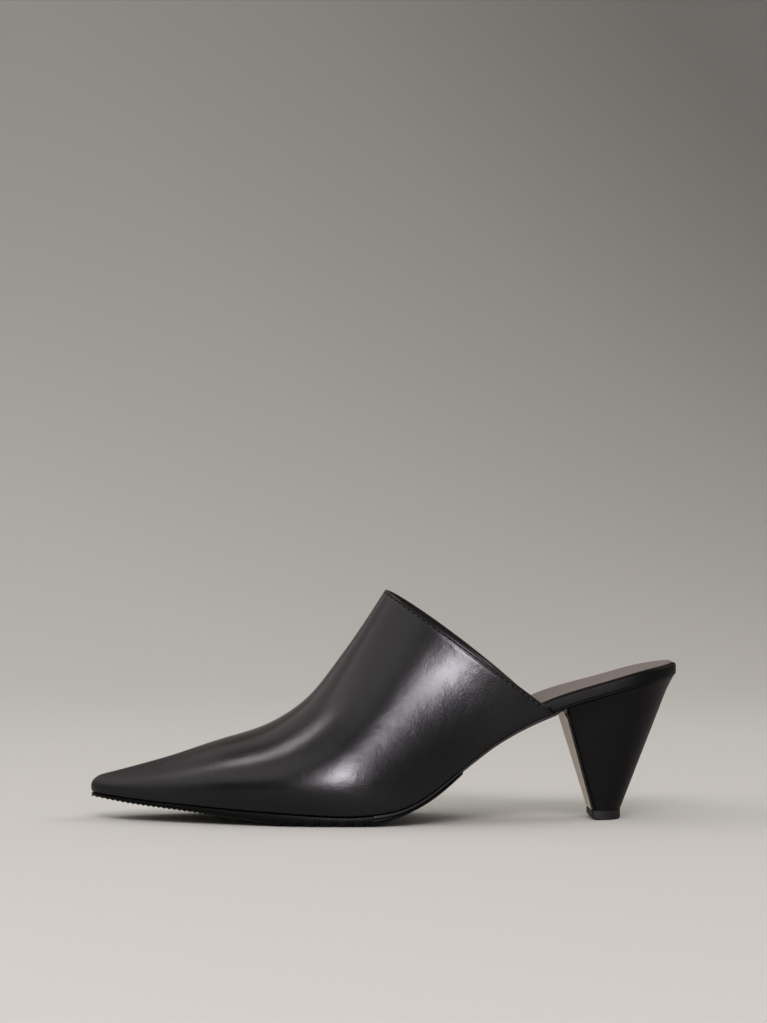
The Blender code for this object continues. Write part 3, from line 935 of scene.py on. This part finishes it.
def crown(x, y):
    """How far the sole swells below the last's bottom in the waist."""
    share = outsole["crown"](x / LAST_LENGTH) if x > OUTSOLE_START else 0.0
    return WAIST_CROWN * max(share, 0.0) * (1 - from_middle(x, y) ** 2)


def heel_axis_x(x, y):
    """The heel stands square to its own axis, which is turned from the shoe's."""
    return x - y * math.tan(HEEL_TURN)


HEEL_ROWS = 30
CORNER_STEPS = 4
CORNER_ANGLES = [math.pi / 2 * step / CORNER_STEPS for step in range(CORNER_STEPS)]


def heel_sides(inset):
    """The heel's edge at the seat, outer side from breast to back, then inner side to the breast."""
    front = LAST_LENGTH - HEEL_TOP_LENGTH
    lines = {}
    for side in (OUTER, INNER):
        corner_y = edge(turn_at(front), side, -inset)[1]
        start = turn_at(heel_axis_x(front, corner_y))
        line = []
        for row in range(HEEL_ROWS + 1):
            share = max(row / HEEL_ROWS, BREAST_CORNER / HEEL_TOP_LENGTH)
            turn = start + (math.pi - start) * share
            line.append(edge(turn, side, -inset))
        first = line[0]
        front_x = heel_axis_x(front, corner_y)
        corner = [
            np.array([
                front_x + (first[0] - front_x) * (1 - math.cos(angle)),
                first[1] - side * BREAST_CORNER * (1 - math.sin(angle)),
            ])
            for angle in CORNER_ANGLES
        ]
        lines[side] = corner + line
    return lines[OUTER] + lines[INNER][-2::-1]


def tip_sides(front_cut, inset):
    """The edge of the heel's tip, in the same order as its edge at the seat."""
    back = LAST_LENGTH - TIP_SETBACK - inset
    front = LAST_LENGTH - TIP_SETBACK - TIP_LENGTH + front_cut
    half = TIP_WIDTH / 2 - inset
    round_length = back - front - TIP_STRAIGHT
    lines = {}
    for side in (OUTER, INNER):
        line = [
            (
                front + BREAST_CORNER * (1 - math.cos(angle)),
                side * (half - BREAST_CORNER * (1 - math.sin(angle))),
            )
            for angle in CORNER_ANGLES
        ]
        for row in range(HEEL_ROWS + 1):
            angle = math.pi / 2 * row / HEEL_ROWS
            straight = TIP_STRAIGHT if row else BREAST_CORNER
            x = front + straight + round_length * math.sin(angle)
            line.append((x, side * half * math.cos(angle)))
        lines[side] = [np.array([heel_axis_x(x, y), y]) for x, y in line]
    return lines[OUTER] + lines[INNER][-2::-1]


def heel_ring(share):
    """The heel's edge at a share of the way down from the seat to the tip."""
    breast_cover = OUTSOLE_THICKNESS + GAP
    seat_line = heel_sides(HEEL_INSET + HEEL_FLARE)
    flared = heel_sides(HEEL_INSET)
    tip_line = tip_sides(breast_cover, 0.0)
    tip_top = TIP_HEIGHT + GAP
    ring = []
    for straight, wide, low in zip(seat_line, flared, tip_line):
        top = bottom(*wide) - GAP
        drop = share * (top - tip_top)
        flare = max(1 - drop / HEEL_FLARE_HEIGHT, 0.0) ** 2
        flat = straight + (wide - straight) * flare
        flat = flat + (low - straight) * share
        ring.append(np.append(flat, top - drop))
    return ring


def across(turn, outset, shares_and_heights):
    """Points across the shoe, each at a share from the outer edge and above the last's bottom."""
    outer = edge(turn, OUTER, outset)
    inner = edge(turn, INNER, outset)
    line = []
    for share, height in shares_and_heights:
        flat = outer + (inner - outer) * share
        line.append(np.append(flat, bottom(*flat) + height))
    return line


def breast_line(share, side):
    """A point of the heel's breast edge, at a share of the way down."""
    ring = heel_ring(share)
    return ring[0] if side == OUTER else ring[-1]


def make_outsole():
    """The sheet under the waist, then its flap down the breast, as loops across the shoe."""
    between = [rung / SHEET_RUNGS for rung in range(1, SHEET_RUNGS)]
    shares = [0.0, INKED_SHARE] + between + [1 - INKED_SHARE, 1.0]
    loops = []
    outer_top = breast_line(0.0, OUTER)
    inner_top = breast_line(0.0, INNER)
    bend_x = min(outer_top[0], inner_top[0]) - GAP - OUTSOLE_THICKNESS - BREAST_FILLET
    for turn in plate_turns(turn_at(OUTSOLE_START), turn_at(bend_x), WAIST_STATIONS):
        outset = TREAD_OUTSET * outsole["outset"](x_at(turn) / LAST_LENGTH)
        upper_face = across(turn, outset, [(share, -GAP) for share in shares])
        low = -GAP - OUTSOLE_THICKNESS
        lower_face = across(turn, outset, [(share, low) for share in reversed(shares)])
        for point in lower_face:
            point[2] -= crown(point[0], point[1])
        loops.append(upper_face + lower_face)

    def sheet(back_outer, back_inner, front_outer, front_inner):
        back_face = [back_outer + (back_inner - back_outer) * share for share in shares]
        front_face = [front_outer + (front_inner - front_outer) * share for share in reversed(shares)]
        return back_face + front_face

    def corner(top, back_z, front_x, front_z):
        x = top[0] - GAP
        back = np.array([x, top[1], top[2] - back_z])
        front = np.array([x - OUTSOLE_THICKNESS - front_x, top[1], top[2] - OUTSOLE_THICKNESS - front_z])
        return back, front

    for step in range(1, BEND_STEPS + 1):
        angle = math.pi / 2 * step / BEND_STEPS
        forward = BREAST_FILLET * (1 - math.sin(angle))
        below = BREAST_FILLET * (1 - math.cos(angle))
        lower = below if angle > math.pi / 3 else 0.0
        outer_back, outer_front = corner(outer_top, lower, forward, below)
        inner_back, inner_front = corner(inner_top, lower, forward, below)
        loops.append(sheet(outer_back, inner_back, outer_front, inner_front))
    for share in BREAST_SHARES:
        outer = breast_line(share, OUTER) - np.array([GAP, 0.0, 0.0])
        inner = breast_line(share, INNER) - np.array([GAP, 0.0, 0.0])
        forward = np.array([OUTSOLE_THICKNESS, 0.0, 0.0])
        loops.append(sheet(outer, inner, outer - forward, inner - forward))
    return loops


def skin(loops):
    """Points and faces of a closed solid through loops of equal count."""
    count = len(loops[0])
    points = [point for loop in loops for point in loop]
    faces = ring_faces(count, len(loops))
    for start in (0, count * (len(loops) - 1)):
        for low in range((count - 1) // 2):
            high = count - 1 - low
            rung = [start + low, start + low + 1, start + high - 1, start + high]
            if high - low == 2:
                rung.remove(start + high - 1)
            faces.append(tuple(rung))
    return points, faces


def ease_edges(piece, width, angle=35):
    """Takes the sharpness off a piece's edges, as trimming and handling do."""
    bevel = piece.modifiers.new("eased_edges", "BEVEL")
    bevel.width = width
    bevel.segments = 3
    bevel.limit_method = "ANGLE"
    bevel.angle_limit = math.radians(angle)
    evened = piece.modifiers.new("evened_shading", "WEIGHTED_NORMAL")
    evened.keep_sharp = False
    piece.data.shade_smooth()


# Resin board with a printed leather grain: satin, a dusty taupe.
taupe_board = grained_leather("taupe_board", "#d2c6b8", "#c2b7aa", 0.0010, 0.000012, 0.00003, 0.42, 0.55)
# Edge ink: black acrylic, brushed on and burnished.
edge_ink = new_finish("edge_ink", "#0e0d0d", 0.40, Specular_IOR_Level=0.3)[0]
waist_outsole = add_piece("waist_outsole", *skin(make_outsole()), taupe_board)
waist_outsole.data.materials.append(edge_ink)
half_loop = SHEET_RUNGS + 3
cut_edges = ({0, 2 * half_loop - 1}, {half_loop - 1, half_loop})
inked_rims = (
    {0, 1}, {half_loop - 2, half_loop - 1},
    {2 * half_loop - 2, 2 * half_loop - 1}, {half_loop, half_loop + 1},
)
for face in waist_outsole.data.polygons:
    places = {vertex % (2 * half_loop) for vertex in face.vertices}
    on_waist = min(face.vertices) // (2 * half_loop) < WAIST_STATIONS
    face.material_index = int(places in cut_edges or (on_waist and places in inked_rims))
ease_edges(waist_outsole, 0.00018)
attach(waist_outsole, "root")
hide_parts("outsole")


# Heel
# A tapered block of ABS wrapped in black leather, round at the back and flat at the breast.
# The wrap is glued down wet, so its edges are tight and soft.
HEEL_LEVELS = 26
HEEL_FLARE_LEVELS = (0.0, 0.008, 0.016, 0.026, 0.04, 0.055, 0.072, 0.092)


def make_heel():
    flared = HEEL_FLARE_LEVELS[-1]
    straight = [flared + (1 - flared) * level / HEEL_LEVELS for level in range(1, HEEL_LEVELS + 1)]
    return skin([heel_ring(share) for share in [*HEEL_FLARE_LEVELS, *straight]])


heel_leather = grained_leather(
    "heel_leather", "#0e0c0d", "#0a0809", 0.0007, 0.000010, 0.00003, 0.42, 0.54, Specular_IOR_Level=0.12,
)
heel_block = add_piece("heel_block", *make_heel(), heel_leather)
ease_edges(heel_block, 0.00022, angle=50)
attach(heel_block, "root")
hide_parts("heel")


# Top piece
# The wearing tip, moulded polyurethane pinned under the heel, bevelled at its front.
TIP_FRONT_BEVEL = 0.0022
TIP_SIDE_BEVEL = 0.0005

# The tip from its top down: height over the floor, and how much of each bevel is cut there.
TIP_LEVELS = table("height front side", [
    (TIP_HEIGHT, 0.0, 0.0),
    (0.0032, 0.0, 0.0),
    (0.0020, 0.0, 0.0),
    (0.0012, 0.15, 0.0),
    (0.0007, 0.35, 0.1),
    (0.0003, 0.65, 0.45),
    (0.0, 1.0, 1.0),
])


def make_top_piece():
    loops = []
    for height, front, side in zip(*TIP_LEVELS.values()):
        flat_ring = tip_sides(TIP_FRONT_BEVEL * front, TIP_SIDE_BEVEL * side)
        loops.append([np.append(flat, height) for flat in flat_ring])
    return skin(loops)


# Moulded polyurethane: charcoal, dull, with a faint sand texture from the mould.
tip_rubber = grained_leather(
    "tip_rubber", "#161415", "#100f10", 0.0005, 0.000012, 0.00001, 0.55, 0.68, Specular_IOR_Level=0.25,
)
top_piece = add_piece("heel_tip", *make_top_piece(), tip_rubber)
ease_edges(top_piece, 0.00012, angle=50)
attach(top_piece, "root")
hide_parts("top_piece")


# Tread
# The rubber forefoot, moulded in one with its fine ribs at the toe and pairs of grooves
# at the ball, and cemented under the upper.
TREAD_THICKNESS = 0.0042
TREAD_END = 0.1690
EDGE_ROLL = 0.0060
GROOVE_DEPTH = 0.0007
GROOVE_WIDTH = 0.0008
GROOVE_STEP = 0.0018
GROOVE_PITCH = 0.0074
GROOVE_PAIRS = 6
GROOVE_START = 0.0880
RIB_PITCH = 0.0024
RIB_DEPTH = 0.00050
RIB_END = 0.0620
RIB_FADE = 0.012
RIB_POWER = 0.8
NOTCH_SHARE = 0.5
ROLL_LIMIT = 0.25
TREAD_STEP = 0.0003
TREAD_RUNGS = 16

# Depth of the tread below the feather line, as a share of TREAD_THICKNESS.
# Where it is deeper than the floor, the tread is flat.
TREAD = table("along depth", [
    (0.000, 0.42),
    (0.065, 0.58),
    (0.130, 0.66),
    (0.180, 0.76),
    (0.240, 0.94),
    (0.300, 1.20),
    (0.350, 1.50),
    (0.410, 1.45),
    (0.455, 1.30),
    (0.490, 1.00),
    (0.517, 0.76),
    (0.560, 0.70),
    (0.595, 0.76),
    (0.631, 0.50),
])

# Side of the tread, from the eased ledge beside the upper to the rolled lower edge. Inward is a
# share of EDGE_ROLL, drop the share of the thickness below the top, and cut the share of the
# ribs' and grooves' depth that reaches there.
TREAD_EDGE = table("inward drop cut", [
    (0.050, 0.000, 0.0),
    (0.030, 0.012, 0.0),
    (0.012, 0.035, 0.0),
    (0.00, 0.09, 0.0),
    (0.00, 0.30, 0.0),
    (0.01, 0.58, 0.6),
    (0.05, 0.76, 1.0),
    (0.16, 0.87, 1.0),
    (0.42, 0.95, 1.0),
    (1.00, 1.00, 1.0),
])
tread_depth = spline(TREAD["along"], TREAD["depth"])


def groove_cut(x):
    """Depth of the ribs and grooves at a place along the tread."""
    cut = 0.0
    if x < RIB_END:
        cut = RIB_DEPTH * (0.5 - 0.5 * math.cos(2 * math.pi * x / RIB_PITCH)) ** RIB_POWER
        cut *= min(1.0, (RIB_END - x) / RIB_FADE)
    for pair in range(GROOVE_PAIRS):
        for step in (0, 1):
            off = abs(x - GROOVE_START - pair * GROOVE_PITCH - step * GROOVE_STEP)
            inside = (GROOVE_WIDTH / 2 + TREAD_STEP / 2 - off) / TREAD_STEP
            cut += GROOVE_DEPTH * min(max(inside, 0.0), 1.0)
    return cut


def tread_levels(x, y):
    """Top and floor of the tread at a place."""
    swollen = bottom(x, y) - crown(x, y)
    top = swollen - GAP
    if x >= OUTSOLE_START - GAP:
        top -= OUTSOLE_THICKNESS + GAP
    depth = max(TREAD_THICKNESS * tread_depth(x / LAST_LENGTH), OUTSOLE_THICKNESS + 2 * GAP)
    return top, max(swollen - GAP - depth, 0.0)


def make_tread():
    start = x_at(END_TURN)
    count = int((TREAD_END - start) / TREAD_STEP)
    toe_turns = [END_TURN / 3, END_TURN * 0.66]
    places = [start + (TREAD_END - start) * place / count for place in range(count + 1)]
    line = around(toe_turns + [turn_at(x) for x in places])
    points = []
    for inward, drop, share in zip(*TREAD_EDGE.values()):
        for turn, side in line:
            width = np.linalg.norm(edge(turn, INNER, TREAD_OUTSET) - edge(turn, OUTER, TREAD_OUTSET))
            roll = min(EDGE_ROLL, ROLL_LIMIT * width)
            flat = edge(turn, side, TREAD_OUTSET)
            middle = np.array([flat[0], BALL_WIDTH * plan_centre(turn)])
            gap = np.linalg.norm(middle - flat)
            flat = flat + (middle - flat) * min(roll * inward / max(gap, GAP), 1.0)
            top, floor = tread_levels(*flat)
            cut = groove_cut(x_at(turn)) * share
            notch = cut * NOTCH_SHARE * (1 - drop)
            flat = flat + (middle - flat) * min(notch / max(gap, GAP), 0.5)
            points.append(np.append(flat, top + (floor - top) * drop + cut))
    faces = capped_rings(
        points, len(line), len(TREAD_EDGE["inward"]),
        lambda x, y, rung: tread_levels(x, y)[0],
        lambda x, y, rung: tread_levels(x, y)[1] + groove_cut(x),
        TREAD_RUNGS,
    )
    return points, faces


# Moulded rubber: near black, dull, greyer where it is brushed.
tread_rubber = grained_leather(
    "tread_rubber", "#040404", "#020202", 0.0006, 0.000014, 0.00001, 0.36, 0.50, Specular_IOR_Level=0.09,
)
tread = add_piece("forefoot_tread", *make_tread(), tread_rubber, soft_angle=35)
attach(tread, "root")
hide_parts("tread")


# Sock
# The brown-grey lining that the foot rests on: thin synthetic leather on a little foam,
# glued on the insole inside its rim.
SOCK_THICKNESS = 0.0008
SOCK_INSET = 0.0020
SOCK_START = 0.0120
SOCK_SWELL = 0.0003
SOCK_STATIONS = 150

# The sock's edge from its foot up, as an inset and a share of SOCK_THICKNESS.
SOCK_EDGE = table("inset height", [
    (0.0000, 0.00),
    (0.0000, 0.45),
    (0.00015, 0.75),
    (0.0005, 0.94),
    (0.0010, 1.00),
])


def sock_height(x):
    return SEAT_THICKNESS * insole_top(x / LAST_LENGTH) + GAP / 3


def make_sock():
    line = around(plate_turns(turn_at(SOCK_START), BACK_TURN, SOCK_STATIONS))
    points = []
    for inset, height in zip(*SOCK_EDGE.values()):
        for turn, side in line:
            flat = edge(turn, side, -SOCK_INSET - INSOLE_EASE - inset)
            level = bottom(*flat) + sock_height(x_at(turn)) + SOCK_THICKNESS * height
            points.append(np.append(flat, level))
    faces = capped_rings(
        points, len(line), len(SOCK_EDGE["inset"]),
        lambda x, y, rung: bottom(x, y) + sock_height(x),
        lambda x, y, rung: (
            bottom(x, y) + sock_height(x) + SOCK_THICKNESS + SOCK_SWELL * math.sin(math.pi * rung) ** 0.5
        ),
        PLATE_RUNGS,
    )
    return points, faces


# Synthetic leather, brown-grey and nearly matt.
sock_skin = grained_leather(
    "sock_skin", "#8b827d", "#7c736e", 0.0008, 0.000020, 0.00005, 0.60, 0.72, Specular_IOR_Level=0.08,
)
sock = add_piece("sock_lining", *make_sock(), sock_skin, soft_angle=60)
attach(sock, "root")
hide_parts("sock")


# Floor and backdrop
# One sheet of warm grey paper that sweeps up behind the shoe. Its colour carries painted shade,
# graded darker to the back and the right, where less light reaches it.
SWEEP_WIDTH = 9.0
FLOOR_FRONT = -9.0
SWEEP_START = 0.9
SWEEP_RADIUS = 3.2
SWEEP_STEPS = 48
WALL_HEIGHT = 6.0
# Painted shade on the paper: its colour darkens along a run to the back and the right, through these
# stops.
GRADING_RUN = (2.2, 1.0, 0.0)
GRADING_END = 4.0
SHADE_GRADING = ((0.0, "#dad9d3"), (0.25, "#dad9d3"), (0.50, "#d2d0ca"), (0.72, "#c4c2bc"), (1.0, "#a2a09b"))
FLOOR_STATIONS = (FLOOR_FRONT, -1.0, 0.0, SWEEP_START)
sweep_line = [(station, 0.0) for station in FLOOR_STATIONS]
for step in range(1, SWEEP_STEPS + 1):
    angle = math.pi / 2 * step / SWEEP_STEPS
    y = SWEEP_START + SWEEP_RADIUS * math.sin(angle)
    sweep_line.append((y, SWEEP_RADIUS * (1 - math.cos(angle))))
sweep_line.append((SWEEP_START + SWEEP_RADIUS, WALL_HEIGHT))
sweep_mesh = bpy.data.meshes.new("paper_sweep")
sweep_mesh.from_pydata(
    [(side * SWEEP_WIDTH / 2, y, z) for y, z in sweep_line for side in (-1, 1)],
    [],
    [(2 * place, 2 * place + 1, 2 * place + 3, 2 * place + 2) for place in range(len(sweep_line) - 1)],
)
sweep_mesh.shade_smooth()
sweep_paper, sweep_tree, sweep_shader = new_finish("sweep_paper", "#dad9d3", 0.9, Specular_IOR_Level=0.1)
reach = add_node(
    sweep_tree, "ShaderNodeVectorMath", operation="DOT_PRODUCT",
    inputs=[(1, GRADING_RUN)],
    links=[(0, add_node(sweep_tree, "ShaderNodeTexCoord").outputs["Object"])],
)
shade_grading = add_node(
    sweep_tree, "ShaderNodeMapRange",
    inputs=[("From Max", GRADING_END)],
    links=[("Value", reach.outputs["Value"])],
)
painted_paper_shade = add_node(sweep_tree, "ShaderNodeValToRGB", links=[("Fac", shade_grading.outputs["Result"])])
shade_stops = painted_paper_shade.color_ramp.elements
for place, _ in SHADE_GRADING[1:-1]:
    shade_stops.new(place)
for stop, (_, tone) in zip(shade_stops, SHADE_GRADING):
    stop.color = srgb(tone)
sweep_tree.links.new(painted_paper_shade.outputs["Color"], sweep_shader.inputs["Base Color"])
sweep_mesh.materials.append(sweep_paper)
paper_sweep = bpy.data.objects.new("paper_sweep", sweep_mesh)
bpy.context.scene.collection.objects.link(paper_sweep)


# Lights
# Two soft boxes behind the camera and a small one over the toe draw the highlights and light
# nothing else. One above the camera lights the floor without showing in the leather. Three broad
# ones at the sides and the studio's own light fill the rest.
# Name, role, place, aim, width, height, radiance and colour of each.
SOFTBOXES = (
    ("front_softbox", "gloss", (0.03, -3.4, 0.91), (0.0, 0.0, 0.06), 0.55, 0.80, 62.0, "#fcf5fe"),
    ("front_sheet", "gloss", (0.03, -3.4, 1.68), (0.0, 0.0, 0.06), 0.52, 0.84, 30.0, "#fcf5fe"),
    ("toe_softbox", "gloss", (-0.75, -0.10, 1.55), (-0.04, 0.0, 0.03), 0.38, 0.38, 13.0, "#fff5f6"),
    ("floor_softbox", "floor", (0.0, -2.4, 2.0), (0.0, 0.0, 0.0), 1.60, 1.00, 7.2, "#fcf5fe"),
    ("key_softbox", "fill", (-1.3, -0.75, 1.30), (0.0, 0.0, 0.0), 2.40, 1.20, 1.65, "#fffaf7"),
    ("fill_softbox", "fill", (-1.3, 0.9, 1.30), (0.0, 0.2, 0.0), 1.80, 1.30, 0.75, "#fffaf7"),
    ("right_softbox", "fill", (1.3, 0.5, 1.20), (0.0, 0.0, 0.0), 1.20, 1.00, 1.5, "#fffaf7"),
)
STUDIO_COLOUR = "#d6d4d3"
STUDIO_STRENGTH = 0.41


def add_softbox(name, place, aim, width, height, radiance, colour):
    light = bpy.data.lights.new(name, "AREA")
    light.shape = "RECTANGLE"
    light.size = width
    light.size_y = height
    light.energy = radiance * math.pi * width * height
    light.color = srgb(colour)[:3]
    lamp = bpy.data.objects.new(name, light)
    lamp.location = place
    to_aim = np.array(aim) - np.array(place)
    flat = math.hypot(to_aim[0], to_aim[1])
    heading = math.atan2(to_aim[1], to_aim[0]) - math.pi / 2
    lamp.rotation_euler = (math.atan2(flat, -to_aim[2]), 0.0, heading)
    bpy.context.scene.collection.objects.link(lamp)
    return lamp


def light_softboxes():
    """The soft boxes from SOFTBOXES. Those for gloss light no surface, and the floor's shows in none."""
    for name, role, *measures in SOFTBOXES:
        softbox = add_softbox(name, *measures)
        softbox.visible_diffuse = role != "gloss"
        softbox.visible_glossy = role != "floor"


light_softboxes()
world = bpy.data.worlds.new("studio_fill")
world.use_nodes = True
studio_light = world.node_tree.nodes["Background"]
studio_light.inputs["Color"].default_value = srgb(STUDIO_COLOUR)
studio_light.inputs["Strength"].default_value = STUDIO_STRENGTH
bpy.context.scene.world = world
bpy.context.scene.view_settings.view_transform = "Standard"


# Camera
# Far off and a little above the topline, looking almost level and square at the outer side.
CAMERA_LENS = 110.15
CAMERA_PITCH = math.radians(0.216)
CAMERA_TURN = 0.0036
CAMERA_PLACE = (-0.0052, -1.4511, 0.1481)
SENSOR_WIDTH = 36.0
NEAREST_SEEN = 0.05
FARTHEST_SEEN = 30.0
camera_data = bpy.data.cameras.new("camera")
camera_data.lens = CAMERA_LENS
camera_data.sensor_width = SENSOR_WIDTH
camera_data.clip_start = NEAREST_SEEN
camera_data.clip_end = FARTHEST_SEEN
camera = bpy.data.objects.new("camera", camera_data)
camera.location = CAMERA_PLACE
camera.rotation_euler = (math.pi / 2 - CAMERA_PITCH, 0.0, -CAMERA_TURN)
bpy.context.scene.collection.objects.link(camera)
bpy.context.scene.camera = camera
